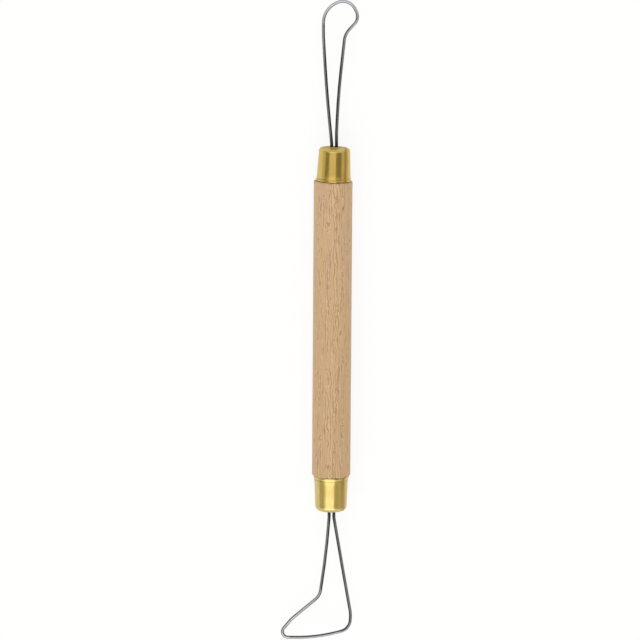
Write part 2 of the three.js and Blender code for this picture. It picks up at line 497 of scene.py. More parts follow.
        # The ground is darker towards the foot loop.
        shoulder = self.layout.mouth
        colour = Layer(self.foot_tone, none=shoulder, full=-shoulder).over(
            tree, self.tone, parts["X"]
        )
        for layer, value in [
            (self.cool_cloud, clouds),
            (self.dark_fibre, fibres),
            (self.pale_fibre, fibres),
            # The pale band beside each line is a painted highlight.
            (self.line_highlight, pale_lines),
            (self.dark_line, lines),
            (self.dark_fleck, flecks),
            (self.pale_fleck, flecks),
            # The wood is darker brown in ragged teeth at the edge of each shoulder, more by the foot.
            (self.shoulder_edge_brown, self.torn_edge(tree, place, parts["X"])),
        ]:
            colour = layer.over(tree, colour, value)

        # Lines and dark flecks lie a little lower than the fibres round them.
        pits = add_node(tree, Kind.MAP_RANGE, {
            "Value": flecks, "From Min": self.dark_fleck.none, "From Max": self.dark_fleck.full,
            "To Max": self.dark_fleck.strength,
        })
        hollows = add_node(tree, Kind.MATH, {0: lines, 1: pits}, operation="MAXIMUM")
        height = add_node(tree, Kind.MATH, {0: fibres, 1: hollows}, operation="SUBTRACT")
        relief = add_node(tree, Kind.BUMP, {
            "Height": height, "Strength": 0.6, "Distance": self.relief * METRES_PER_MM,
        })
        sheen = add_node(tree, Kind.MAP_RANGE, {
            "Value": fibres, "From Min": 0.2, "From Max": 0.8,
            "To Min": self.roughness[0], "To Max": self.roughness[1],
        })
        set_inputs(tree, shader, {"Base Color": colour, "Roughness": sheen, "Normal": relief})
        return material


@dataclass(frozen=True)
class DrawnBrassFinish:
    """Brass sheet, deep-drawn to a cup and polished in a barrel.

    To the eye it is a clear yellow mirror, a little soft, with faint lengthwise draw marks, slightly
    uneven colour, and a warm tarnish in the groove above the rim. A darker streak down one flank is
    painted shade, standing for the reflection of the floor beside the tool, which lies in the tool's
    shadow. The face of the closed end is satin, as the press left it.

    The groove is measured from the mouth, face_edge from the closed end, and the streak from the
    tool's axis, in millimetres.
    """

    name: str
    layout: Layout
    metal: str
    warm: str
    # How dark the streak of painted shade down one flank is.
    streak_shade: float
    # The colour of the groove's tarnish, and of the painted shade in the streak.
    tarnish_and_shade: str = "#8F6A2A"
    cloud: Blotches = Blotches(4.0, 2.5, detail=3.0, seed=2.0)
    warm_cloud: Point = (0.35, 0.7)
    draw_mark: Blotches = Blotches(9.0, 0.22, detail=2.0, seed=17.0)
    groove_middle: float = 0.88
    groove_width: float = 0.55
    groove_tarnish: float = 0.6
    streak_aside: float = -3.85
    streak_width: float = 1.9
    roughness: Point = (0.16, 0.25)
    face_roughness: float = 0.6
    face_edge: Point = (0.5, 0.1)
    relief: float = 0.0025

    def material(self) -> Material:
        """Builds the material.

        Returns:
            The material.
        """
        material, tree, shader = new_material(self.name)
        place = millimetre_coordinates(tree, self.layout.axis_height)
        parts = add_node(tree, Kind.SEPARATE, {"Vector": place}).outputs
        clouds = self.cloud.pattern(tree, place)
        marks = self.draw_mark.pattern(tree, place)
        end = add_node(tree, Kind.MATH, {0: parts["X"]}, operation="ABSOLUTE")

        in_groove = nearness(
            tree, end, self.layout.mouth + self.groove_middle, self.groove_width / 2,
            peak=self.groove_tarnish,
        )
        # The streak down the -Y flank is painted shade: it stands for the reflection of the floor
        # beside the tool, which lies in the tool's shadow. The groove's tarnish is the brass's own.
        in_shade_streak = nearness(
            tree, parts["Y"], self.streak_aside, self.streak_width / 2, peak=self.streak_shade
        )
        tarnish_and_shade_cover = add_node(tree, Kind.MATH, {0: in_groove, 1: in_shade_streak}, operation="MAXIMUM")
        none, full = self.warm_cloud
        metal = Layer(self.warm, none=none, full=full).over(tree, self.metal, clouds)
        colour = Layer(self.tarnish_and_shade).over(tree, metal, tarnish_and_shade_cover)

        relief = add_node(tree, Kind.BUMP, {
            "Height": marks, "Strength": 0.5, "Distance": self.relief * METRES_PER_MM,
        })
        gloss = add_node(tree, Kind.MAP_RANGE, {
            "Value": clouds, "From Min": 0.25, "From Max": 0.75,
            "To Min": self.roughness[0], "To Max": self.roughness[1],
        })
        on_face = add_node(tree, Kind.MAP_RANGE, {
            "Value": end,
            "From Min": self.layout.closed_end - self.face_edge[0],
            "From Max": self.layout.closed_end - self.face_edge[1],
            "To Max": self.face_roughness,
        })
        roughness = add_node(tree, Kind.MATH, {0: gloss, 1: on_face}, operation="MAXIMUM")
        set_inputs(tree, shader, {
            "Base Color": colour, "Metallic": 1.0, "Roughness": roughness, "Normal": relief,
        })
        return material


@dataclass(frozen=True)
class SteelWireFinish:
    """Spring steel wire, drawn bright and oiled.

    To the eye it is a dark grey metal. Its inner side is painted dark, as the shade and the dark
    reflection that the two legs and the loop's inside throw on each other, and its legs are painted
    darker still towards their roots by the hole, as painted shade. Its crest is painted brighter where
    the loop works the clay most, partly as wear and partly as a painted highlight, with a painted dark
    edge on its outer flank.

    A place on the wire's section is told by its side, from -1 on the outer side of the loop through 0
    on the crest to 1 on the inner side. The inner painted shade starts at shade_start and is deepest
    shade_width further in, and a rubbed wire pushes it in by worn_back. The pair called flank says
    where the painted dark edge on the outer flank starts and is full, and facing where the inner
    painted shade starts to thin and is thinnest.
    """

    name: str
    layout: Layout
    rubbed: str
    flank_shade: float
    leg: str = "#80858F"
    shade_colour: str = "#242429"
    root_shade: str = "#141313"
    deepest_shade: float = 0.95
    shade_start: float = -0.05
    shade_width: float = 0.7
    worn_back: float = 0.22
    flank: Point = (-0.08, -0.38)
    facing: Point = (0.6, 0.95)
    facing_shade: float = 0.5
    root_length: float = 4.6
    streak: Blotches = Blotches(3.0, 0.3, detail=2.0, seed=29.0)
    streak_reach: float = 0.5
    roughness: Point = (0.17, 0.3)
    relief: float = 0.003

    def painted_shade(self, tree: NodeTree, side: NodeSocket, wear_and_highlight_share: NodeSocket, streaks: Node) -> Node:
        """How deep the painted shade is, on the inner side and as a dark edge on the outer flank.

        Args:
            tree: the material's tree.
            side: the place on the wire's section.
            wear_and_highlight_share: how much the wire is rubbed, which also sets its painted highlight
                and the painted dark edge on its outer flank.
            streaks: the node with the streaks of the painted shade.

        Returns:
            The node with the depth of the painted shade, from 0 to 1.
        """
        # The painted shade reaches from the wire's inner side to just past its crest, and less where it
        # is worn. It is thinner again where the two legs face each other.
        uneven = add_node(
            tree, Kind.MATH, {0: streaks, 1: self.streak_reach, 2: side}, operation="MULTIPLY_ADD"
        )
        edge = add_node(
            tree, Kind.MATH, {0: wear_and_highlight_share, 1: self.worn_back, 2: self.shade_start},
            operation="MULTIPLY_ADD",
        )
        inwards = add_node(tree, Kind.MATH, {0: uneven, 1: edge}, operation="SUBTRACT")
        thick_shade = add_node(tree, Kind.MAP_RANGE, {
            "Value": inwards, "From Max": self.shade_width, "To Max": self.deepest_shade,
        })
        thinned = add_node(tree, Kind.MAP_RANGE, {
            "Value": side, "From Min": self.facing[0], "From Max": self.facing[1],
            "To Min": 1.0, "To Max": self.facing_shade,
        })
        inner_shade = add_node(tree, Kind.MATH, {0: thick_shade, 1: thinned}, operation="MULTIPLY")

        # At the working end the crest is left clear for its painted highlight, and a painted dark edge
        # lies on the outer flank as well.
        on_flank = add_node(tree, Kind.MAP_RANGE, {
            "Value": side, "From Min": self.flank[0], "From Max": self.flank[1],
            "To Max": self.flank_shade,
        })
        outer_shade = add_node(tree, Kind.MATH, {0: on_flank, 1: wear_and_highlight_share}, operation="MULTIPLY")
        return add_node(tree, Kind.MATH, {0: inner_shade, 1: outer_shade}, operation="MAXIMUM")

    def material(self) -> Material:
        """Builds the material.

        Returns:
            The material.
        """
        material, tree, shader = new_material(self.name)
        place = millimetre_coordinates(tree, self.layout.axis_height)
        along = add_node(tree, Kind.SEPARATE, {"Vector": place}).outputs["X"]
        end = add_node(tree, Kind.MATH, {0: along}, operation="ABSOLUTE")
        side = add_node(tree, Kind.ATTRIBUTE, attribute_name=SIDE_LAYER).outputs["Fac"]
        wear_and_highlight_share = add_node(tree, Kind.ATTRIBUTE, attribute_name=WEAR_AND_HIGHLIGHT_LAYER).outputs["Fac"]
        streaks = self.streak.pattern(tree, place)

        # The legs are painted darker towards their roots by the hole: painted shade, for the hole's
        # shadow and dark reflection.
        root = self.layout.closed_end
        root_layer = Layer(
            self.root_shade, strength=self.deepest_shade, none=root + self.root_length, full=root
        )
        # The crest is painted brighter where the wire is worn: partly wear, partly a painted highlight.
        metal = Layer(self.rubbed).over(tree, self.leg, wear_and_highlight_share)
        # The inner side, and the outer flank where the wire is worn, are painted dark: painted shade
        # and dark reflection.
        colour = Layer(self.shade_colour).over(tree, metal, self.painted_shade(tree, side, wear_and_highlight_share, streaks))
        colour = root_layer.over(tree, colour, end)
        relief = add_node(tree, Kind.BUMP, {
            "Height": streaks, "Strength": 0.5, "Distance": self.relief * METRES_PER_MM,
        })
        gloss = add_node(tree, Kind.MAP_RANGE, {
            "Value": streaks, "From Min": 0.3, "From Max": 0.7,
            "To Min": self.roughness[0], "To Max": self.roughness[1],
        })
        set_inputs(tree, shader, {
            "Base Color": colour, "Metallic": 1.0, "Roughness": gloss, "Normal": relief,
        })
        return material


@dataclass(frozen=True)
class SetAdhesiveFinish:
    """Two-part adhesive, poured round the wire and set hard.

    To the eye it is a dark amber gloss with small bubbles just under its surface.
    """

    layout: Layout
    amber: str = "#5A4024"
    cell: Blotches = Blotches(0.35, 0.35, seed=7.0)
    bubble: Layer = Layer("#8A6A42", none=0.58, full=0.7)
    roughness: float = 0.28
    relief: float = 0.03

    def material(self) -> Material:
        """Builds the material.

        Returns:
            The material.
        """
        material, tree, shader = new_material("adhesive_poured_and_set")
        cells = self.cell.pattern(tree, millimetre_coordinates(tree, self.layout.axis_height))
        colour = self.bubble.over(tree, self.amber, cells)
        relief = add_node(tree, Kind.BUMP, {
            "Height": cells, "Strength": 0.4, "Distance": self.relief * METRES_PER_MM,
        })
        set_inputs(tree, shader, {
            "Base Color": colour, "Roughness": self.roughness, "Normal": relief,
        })
        return material


def spaced(start: float, end: float, steps: int) -> list[float]:
    """Evenly spaced values.

    Args:
        start: the first value.
        end: the last value.
        steps: how many steps lead from one to the other.

    Returns:
        The values, both ends included.
    """
    return [start + (end - start) * k / steps for k in range(steps + 1)]


def arc(centre: Point, radius: float, start: float, end: float, steps: int) -> list[Point]:
    """Points on a round of a profile.

    Args:
        centre: distance along the axis and distance from it.
        radius: the round's radius.
        start: the first point's angle in degrees, 0 straight out and 90 ahead.
        end: the last point's angle.
        steps: how many steps lead from one to the other.

    Returns:
        The points, both ends included.
    """
    angles = [math.radians(angle) for angle in spaced(start, end, steps)]
    return [
        (centre[0] + radius * math.sin(a), centre[1] + radius * math.cos(a)) for a in angles
    ]


def turn(profile: list[Point], axis_height: float, steps: int, closed: bool) -> BMesh:
    """Turns a profile about the tool's axis.

    Args:
        profile: distances along X and radii.
        axis_height: the axis's height.
        steps: facets round the form.
        closed: whether the profile closes on itself, and doesn't end on the axis.

    Returns:
        The turned form, in millimetres.
    """
    bm = bmesh.new()
    verts = [bm.verts.new((x, 0.0, axis_height + radius)) for x, radius in profile]
    edges = [bm.edges.new(pair) for pair in zip(verts, verts[1:])]
    if closed:
        edges.append(bm.edges.new((verts[-1], verts[0])))
    bmesh.ops.spin(
        bm,
        geom=verts + edges,
        cent=(0.0, 0.0, axis_height),
        axis=ALONG,
        dvec=NO_SLIDE,
        angle=2.0 * math.pi,
        steps=steps,
        use_merge=True,
        use_duplicate=False,
    )
    bmesh.ops.remove_doubles(bm, verts=bm.verts, dist=WELD)
    return bm


@dataclass
class Piece:
    """One piece of the tool, which stands for one solid of the frame."""

    name: str
    node: str
    slot: str
    sharp_angle: float = 38.0

    def finish(self, bm: BMesh, material: Material) -> Object:
        """Makes the modelled form an object of the tool.

        Args:
            bm: the form, in millimetres.
            material: its finish.

        Returns:
            The object, at the origin, with its place in its mesh.
        """
        bmesh.ops.recalc_face_normals(bm, faces=bm.faces)
        bmesh.ops.scale(bm, vec=(METRES_PER_MM,) * 3, verts=bm.verts)
        for face in bm.faces:
            face.smooth = True
        for edge in bm.edges:
            is_corner = edge.calc_face_angle(0.0) > math.radians(self.sharp_angle)
            edge.smooth = not is_corner
        mesh = bpy.data.meshes.new(self.name)
        bm.to_mesh(mesh)
        bm.free()
        mesh.materials.append(material)
        piece = bpy.data.objects.new(self.name, mesh)
        bpy.context.scene.collection.objects.link(piece)
        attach(piece, BODY)
        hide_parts(self.node)
        return piece


@dataclass
class Handle:
    """The turned dowel, with a spigot and a drilled hole at each end.

    Its shoulder is cut at a slight slant by the hook, and its edge is a little torn by the foot. The
    gaps are those between each shoulder and the mouth of the frame's own ferrule.
    """

    layout: Layout
    finish: BeechFinish
    diameter: float = 12.0
    hook_gap: float = 0.06
    foot_gap: float = 0.28
    hook_round: float = 0.3
    foot_round: float = 0.6
    spigot_radius: Point = (4.86, 4.43)
    spigot_length: float = 10.2
    spigot_round: float = 1.0
    hole_radius: float = 1.7
    hole_past_legs: float = 1.2
    drill_point: float = 1.02
    facets: int = 192
    body_steps: int = 120
    ripple: float = 0.02
    ripple_length: float = 9.0
    hook_slant: float = 0.028
    torn_edge: float = 0.5
    torn_inwards: float = 0.5
    torn_length: float = 1.0
    edge_reach: float = 1.3

    def shoulder(self, end: End) -> float:
        """From the tool's middle to the shoulder at one end."""
        return self.layout.mouth - (self.hook_gap if end is End.HOOK else self.foot_gap)

    def end_profile(self, end: End, shoulder_round: float) -> list[Point]:
        """One end of the profile, from the bottom of its hole out to its shoulder.

        Args:
            end: the end.
            shoulder_round: the radius of the round at the shoulder's edge.

        Returns:
            The profile's points.
        """
        shoulder = self.shoulder(end)
        face = shoulder + self.spigot_length
        hole_bottom = self.layout.leg_bottom - self.hole_past_legs
        root_radius, tip_radius = self.spigot_radius
        tip_centre = (face - self.spigot_round, tip_radius - self.spigot_round)
        edge_centre = (shoulder - shoulder_round, self.diameter / 2 - shoulder_round)
        points = [
            (hole_bottom - self.drill_point, 0.0),
            (hole_bottom, self.hole_radius),
            (face, self.hole_radius),
            *arc(tip_centre, self.spigot_round, 90, 0, steps=6),
            (shoulder, root_radius),
            *arc(edge_centre, shoulder_round, 90, 0, steps=8),
        ]
        return [(end.value * x, r) for x, r in points]

    def shape_wood(self, bm: BMesh) -> None:
        """Moves the holes to their place and gives the body its slight unevenness.

        Args:
            bm: the turned form.
        """
        centre = Vector((0.0, 0.0, self.layout.axis_height))
        for vert in bm.verts:
            out = Vector((0.0, vert.co.y, vert.co.z)) - centre
            if out.length <= self.hole_radius + TOUCHING:
                vert.co.y += self.layout.hole_aside
                continue
            end = End.HOOK if vert.co.x > 0.0 else End.FOOT
            shoulder = self.shoulder(end)
            if abs(vert.co.x) > shoulder + TOUCHING:
                continue
            wave = noise.noise(vert.co / self.ripple_length)
            vert.co += out.normalized() * (self.ripple * wave)
            near = smooth_step(abs(vert.co.x), shoulder - self.edge_reach, shoulder)
            if end is End.HOOK:
                vert.co.x += near * self.hook_slant * vert.co.y
            else:
                fibre = noise.noise(out.normalized() * (self.diameter / 2 / self.torn_length))
                torn = near * self.torn_edge * max(fibre, 0.0)
                vert.co.x += torn
                vert.co -= out.normalized() * (self.torn_inwards * torn)

    def build(self) -> Object:
        """Turns, drills and finishes the handle.

        Returns:
            The finished piece.
        """
        hook = self.end_profile(End.HOOK, self.hook_round)
        foot = self.end_profile(End.FOOT, self.foot_round)
        between = spaced(hook[-1][0], foot[-1][0], self.body_steps)[1:-1]
        body = [(x, self.diameter / 2) for x in between]
        bm = turn(hook + body + foot[::-1], self.layout.axis_height, self.facets, closed=False)
        self.shape_wood(bm)
        return Piece("beech_handle", "handle", "beech").finish(bm, self.finish.material())


@dataclass
class Ferrule:
    """The drawn brass cup at one end, with a rim at its mouth and a punched hole in its end.

    Heights are measured from its mouth. Against the frame's own solid it is longer by end_trim, sits
    further out by lift and to the side by aside, and leans to the side by so many degrees.
    """

    layout: Layout
    end: End
    finish: DrawnBrassFinish
    rim_radius: float = 5.55
    wall: float = 0.4
    flare: float = 0.23
    taper: float = 0.44
    corner_radius: float = 1.5
    rim_height: float = 0.6
    rim_round: float = 0.13
    groove_height: float = 0.88
    groove_flare: float = 0.07
    flare_top: float = 2.4
    hole_radius: float = 1.37
    hole_round: float = 0.16
    hole_squeeze: float = 0.42
    dome_angle: float = 12.0
    end_trim: float = 0.0
    aside: float = 0.0
    lean: float = 0.0
    lift: float = 0.0
    facets: int = 176
    ripple: float = 0.012
    ripple_length: float = 4.0

    @property
    def length(self) -> float:
        """From the mouth to the edge of the closed end."""
        return self.layout.closed_end - self.layout.mouth + self.end_trim

    @property
    def corner_start(self) -> float:
        """From the mouth to the start of the round at the closed end."""
        return self.length - self.corner_radius

    @property
    def end_radius(self) -> float:
        """The radius of the closed end inside its round."""
        return self.body_radius(self.corner_start) - self.corner_radius

    @property
    def hole_edge(self) -> float:
        """The radius where the hole's turned-in edge begins."""
        return self.hole_radius + self.hole_round

    @property
    def dome_edge(self) -> Point:
        """The place where the dome runs into the round.

        Returns:
            Its height above the mouth and its radius.
        """
        slope = math.radians(self.dome_angle)
        return (
            self.corner_start + self.corner_radius * math.cos(slope),
            self.end_radius + self.corner_radius * math.sin(slope),
        )

    @property
    def dome_top(self) -> float:
        """The dome's height at the hole's edge."""
        return self.domed(self.hole_edge)

    def body_radius(self, height: float) -> float:
        """The drawn body's outer radius at a height above the mouth."""
        return self.rim_radius - self.flare - self.taper * height / self.length

    def flared_radius(self, height: float) -> float:
        """The outer radius near the mouth, where the body opens out to the rim."""
        share = (self.flare_top - height) / (self.flare_top - self.groove_height)
        return self.body_radius(height) + self.groove_flare * max(share, 0.0) ** 2

    def domed(self, radius: float) -> float:
        """How high the domed closed end is at a radius.

        Args:
            radius: from the hole's edge to the dome's.

        Returns:
            The height above the mouth.
        """
        height, edge = self.dome_edge
        span = edge - self.hole_edge
        share = (radius - self.hole_edge) / span
        return height + math.tan(math.radians(self.dome_angle)) * span * (1.0 - share * share) / 2

    def outside(self) -> list[Point]:
        """The outer wall's profile, from the hole's edge to the mouth.

        Returns:
            Heights above the mouth and radii.
        """
        hole_centre = (self.dome_top - self.hole_round, self.hole_edge)
        corner_centre = (self.corner_start, self.end_radius)
        rim_radius = self.rim_radius - self.rim_round
        radii = spaced(self.hole_edge, self.dome_edge[1], steps=10)
        heights = spaced(self.corner_start, self.groove_height, steps=22)
        return [
            *arc(hole_centre, self.hole_round, 180, 90, steps=4),
            *[(self.domed(radius), radius) for radius in radii[1:-1]],
            *arc(corner_centre, self.corner_radius, 90 - self.dome_angle, 0, steps=14),
            *[(height, self.flared_radius(height)) for height in heights[1:]],
            *arc((self.rim_height - self.rim_round, rim_radius), self.rim_round, 90, 0, steps=5),
            *arc((self.rim_round, rim_radius), self.rim_round, 0, -90, steps=5),
        ]

    def inside(self) -> list[Point]:
        """The inner wall's profile, from the mouth to the hole's edge.

        Returns:
            Heights above the mouth and radii.
        """
        corner_centre = (self.corner_start, self.end_radius)
        heights = spaced(self.groove_height, self.corner_start, steps=16)
        return [
            (0.0, self.rim_radius - self.wall),
            *[(height, self.flared_radius(height) - self.wall) for height in heights],
            *arc(corner_centre, self.corner_radius - self.wall, 0, 90, steps=8)[1:],
            (self.dome_top - self.wall, self.hole_radius),
        ]

    def shape_metal(self, bm: BMesh) -> None:
        """Puts the hole round the wire's legs, pressed close to them, and gives the wall its slight
        waves.

        Args:
            bm: the turned form.
        """
        centre = Vector((0.0, 0.0, self.layout.axis_height))
        leaned = self.aside - self.length * math.tan(math.radians(self.lean))
        hole_aside = self.layout.hole_aside - leaned
        for vert in bm.verts:
            out = Vector((0.0, vert.co.y, vert.co.z)) - centre
            waved = out.normalized() * (self.rim_radius / self.ripple_length)
            waved.x = vert.co.x / self.ripple_length
            vert.co += out.normalized() * (self.ripple * noise.noise(waved))
            at_hole = 1.0 - smooth_step(out.length, self.hole_radius, self.end_radius)
            vert.co.y += hole_aside * at_hole
            vert.co.z += (centre.z - vert.co.z) * self.hole_squeeze * at_hole

    def build(self) -> Object:
        """Draws, punches and finishes the ferrule, and sets it on the handle.

        Returns:
            The finished piece.
        """
        profile = [
            (self.end.value * (self.layout.mouth + self.lift + height), radius)
            for height, radius in self.outside() + self.inside()
        ]
        bm = turn(profile, self.layout.axis_height, self.facets, closed=True)
        self.shape_metal(bm)
        mouth = Vector((self.end.value * self.layout.mouth, 0.0, self.layout.axis_height))
        tilt = Matrix.Rotation(math.radians(-self.lean * self.end.value), 3, "Z")
        bmesh.ops.rotate(bm, cent=mouth, matrix=tilt, verts=bm.verts)
        bmesh.ops.translate(bm, vec=(0.0, self.aside, 0.0), verts=bm.verts)
        node = f"ferrule_{self.end.word}_end"
        return Piece(f"brass_{node}", node, "brass").finish(bm, self.finish.material())


@dataclass(frozen=True)
class Corner:
    """One corner of a wire before it is bent: how far ahead of the ferrule's closed end and how far
    aside of the hole it lies, the radius of the bend, and how much the wire is rubbed there, which also
    sets how bright a painted highlight its crest has and how dark a painted edge its outer flank has."""

    ahead: float
    aside: float
    radius: float = 0.0
    wear_and_highlight: float = 0.0


HOOK_CORNERS = (
    Corner(16.65, 2.38, 470.0),
    Corner(35.2, 3.58, 80.0, wear_and_highlight=0.45),
    Corner(42.9, 3.52, 6.7, wear_and_highlight=1.0),
    Corner(46.5, -4.35, 4.2, wear_and_highlight=1.0),
    Corner(39.9, -7.65, 3.5, wear_and_highlight=0.85),
    Corner(35.05, -3.15, 6.0, wear_and_highlight=0.5),
    Corner(15.9, -1.15, 240.0),
)
FOOT_CORNERS = (
    Corner(14.3, 1.5, 260.0),
    Corner(27.85, 3.55, 4.5, wear_and_highlight=0.5),
    Corner(35.45, 12.4, 14.0, wear_and_highlight=1.0),
    Corner(41.2, 17.1, 1.8, wear_and_highlight=0.8),
    Corner(41.55, 4.9, 50.0, wear_and_highlight=0.4),
    Corner(38.55, -5.85, 3.9, wear_and_highlight=0.1),
    Corner(33.9, -6.3, 11.0, wear_and_highlight=0.1),
    Corner(19.75, -3.75, 320.0),
)


@dataclass
class WireLoop:
    """One loop, bent from a single wire whose two legs stand side by side in the handle.

    Each leg starts to part from the other some way ahead of the ferrule's closed end. A bend gets one
    step for every few degrees that it turns.
    """

    layout: Layout
    end: End
    finish: SteelWireFinish
    corners: tuple[Corner, ...]
    first_leg_parts: float
    last_leg_parts: float
    diameter: float = 1.0
    leg_gap: float = 0.5
    leg_exit_radius: float = 8.0
    room_for_bends: float = 0.98
    facets: int = 28
    turn_per_step: float = 3.0
    fewest_steps: int = 3

    @property
    def leg_aside(self) -> float:
        """From the hole's centre to each leg's."""
        return (self.diameter + self.leg_gap) / 2

    def route(self) -> list[Corner]:
        """All corners of the wire.

        Returns:
            The corners, with the bottoms of the two legs first and last.
        """
        bottom = self.layout.leg_bottom - self.layout.closed_end
        return [
            Corner(bottom, self.leg_aside),
            Corner(self.first_leg_parts, self.leg_aside, self.leg_exit_radius),
            *self.corners,
            Corner(self.last_leg_parts, -self.leg_aside, self.leg_exit_radius),
            Corner(bottom, -self.leg_aside),
        ]

    def place(self, corner: Corner) -> Vector:
        """A corner's place in the frame.

        Args:
            corner: the corner.

        Returns:
            The place, in millimetres.
        """
        return Vector((
            self.end.value * (self.layout.closed_end + corner.ahead),
            self.layout.hole_aside + corner.aside,
            self.layout.axis_height,
        ))

    def radii_that_fit(self, route: list[Corner], places: list[Vector]) -> list[float]:
        """Each bend's radius, smaller only where two neighbours would run into each other.

        Args:
            route: the wire's corners.
            places: their places in the frame.

        Returns:
            A radius for each corner.
        """
        reach = [0.0] * len(route)
        for i in range(1, len(route) - 1):
            turned = (places[i] - places[i - 1]).angle(places[i + 1] - places[i])
            reach[i] = route[i].radius * math.tan(turned / 2)
        share = [1.0] * len(route)
        for i in range(1, len(route)):
            run = (places[i] - places[i - 1]).length
            fit = min(1.0, self.room_for_bends * run / (reach[i - 1] + reach[i]))
            share[i - 1] = min(share[i - 1], fit)
            share[i] = min(share[i], fit)
        return [corner.radius * share[i] for i, corner in enumerate(route)]

    def start_section(self, bm: BMesh, start: Vector) -> list[BMEdge]:
        """Draws the wire's round section at the bottom of its first leg, and notes which side of
        each point is the loop's inside.

        Args:
            bm: the mesh that the wire is made in.
            start: the section's centre.

        Returns:
            The section's edges.
        """
        for name in (SIDE_LAYER, WEAR_AND_HIGHLIGHT_LAYER):
            bm.verts.layers.float.new(name)
        side = bm.verts.layers.float[SIDE_LAYER]
        facing = Matrix.Translation(start) @ Matrix.Rotation(math.pi / 2, 4, "Y")
        bmesh.ops.create_circle(
            bm, cap_ends=False, segments=self.facets, radius=self.diameter / 2, matrix=facing
        )
        for vert in bm.verts:
            vert[side] = (start.y - vert.co.y) / (self.diameter / 2)
        return list(bm.edges)

    def draw_on(self, bm: BMesh, section: list[BMEdge], way: Vector) -> list[BMEdge]:
        """Carries the wire's section straight on.

        Args:
            bm: the mesh that the wire is made in.
            section: the section's edges.
            way: how far it goes, and which way.

        Returns:
            The section's edges at the far end.
        """
        made = bmesh.ops.extrude_edge_only(bm, edges=section)["geom"]
        verts = [item for item in made if isinstance(item, BMVert)]
        bmesh.ops.translate(bm, vec=way, verts=verts)
        fresh = set(verts)
        return [
            item for item in made if isinstance(item, BMEdge) and fresh.issuperset(item.verts)
        ]

    def bend(self, bm: BMesh, section: list[BMEdge], centre: Vector, angle: float) -> list[BMEdge]:
        """Carries the wire's section round a bend in the loop's plane.

        Args:
            bm: the mesh that the wire is made in.
            section: the section's edges.
            centre: the bend's centre.
            angle: the turn, counter-clockwise from above.

        Returns:
            The section's edges after the bend.
        """
        steps = math.ceil(math.degrees(abs(angle)) / self.turn_per_step)
        verts = list({vert for edge in section for vert in edge.verts})
        made = bmesh.ops.spin(
            bm,
            geom=verts + section,
            cent=centre,
            axis=UP,
            dvec=NO_SLIDE,
            angle=angle,
            steps=max(self.fewest_steps, steps),
            use_merge=False,
            use_duplicate=False,
        )["geom_last"]
        return [item for item in made if isinstance(item, BMEdge)]

    def build(self) -> Object:
        """Bends and finishes the wire.

        Returns:
            The finished piece.
        """
        route = self.route()
        places = [self.place(corner) for corner in route]
        radii = self.radii_that_fit(route, places)
        bm = bmesh.new()
        first = self.start_section(bm, places[0])
        wear_and_highlight = bm.verts.layers.float[WEAR_AND_HIGHLIGHT_LAYER]
        section = first
        at = places[0]
        for i in range(1, len(route) - 1):
            before = (places[i] - places[i - 1]).normalized()
            after = (places[i + 1] - places[i]).normalized()
            angle = before.angle(after)
            way_round = 1.0 if before.cross(after).z > 0.0 else -1.0
            reach = radii[i] * math.tan(angle / 2)
            bend_start = places[i] - before * reach
            centre = bend_start + UP.cross(before) * (way_round * radii[i])
            section = self.draw_on(bm, section, bend_start - at)
            # Each bend's wear also sets the crest's painted highlight and the painted dark edge on its
            # outer flank.
            for vert in {vert for edge in section for vert in edge.verts}:
                vert[wear_and_highlight] = route[i].wear_and_highlight
            section = self.bend(bm, section, centre, way_round * angle)
            at = places[i] + after * reach
        section = self.draw_on(bm, section, places[-1] - at)
        for rim in (first, section):
            bmesh.ops.contextual_create(bm, geom=rim)
        node = f"{self.end.word}_loop"
        return Piece(f"steel_{node}", node, "steel_wire").finish(bm, self.finish.material())


@dataclass
class AdhesivePlug:
    """The adhesive that fills a drilled hole. It has crept up the two legs and the hole's wall."""

    layout: Layout
    loop: WireLoop
    hole_radius: float
    finish: SetAdhesiveFinish
    creep: float = 0.22
    creep_reach: float = 0.35
    share_at_wall: float = 0.5
    cuts: int = 3

    def rise(self, place: Vector) -> float:
        """How much of the creep there is at a place on the face.

        Args:
            place: the place.

        Returns:
            The share: all of it at a leg, and less at the hole's wall.
        """
        aside = place.y - self.layout.hole_aside
        up = place.z - self.layout.axis_height
        to_leg = math.hypot(abs(aside) - self.loop.leg_aside, up) - self.loop.diameter / 2
        to_wall = self.hole_radius - math.hypot(aside, up)
        at_leg = 1.0 - smooth_step(to_leg, 0.0, self.creep_reach)
        at_wall = 1.0 - smooth_step(to_wall, 0.0, self.creep_reach)
        return max(at_leg, self.share_at_wall * at_wall)

    def build(self) -> Object:
        """Raises the face of the frame's own solid, on a merged copy, and finishes it.

        Returns:
            The finished piece.
        """
        node = f"adhesive_plug_{self.loop.end.word}_end"
        bm = bmesh.new()
        bm.from_mesh(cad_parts[node].data)
        bmesh.ops.scale(bm, vec=(MM_PER_METRE,) * 3, verts=bm.verts)
        bmesh.ops.remove_doubles(bm, verts=bm.verts, dist=TOUCHING)
        top = max(abs(vert.co.x) for vert in bm.verts) - TOUCHING
        face_edges = [
            edge for edge in bm.edges if all(abs(vert.co.x) > top for vert in edge.verts)
        ]
        bmesh.ops.subdivide_edges(bm, edges=face_edges, cuts=self.cuts, use_grid_fill=True)
        for vert in bm.verts:
            if abs(vert.co.x) > top:
                vert.co.x += self.loop.end.value * self.creep * self.rise(vert.co)
        return Piece(f"set_{node}", node, "set_adhesive").finish(bm, self.finish.material())


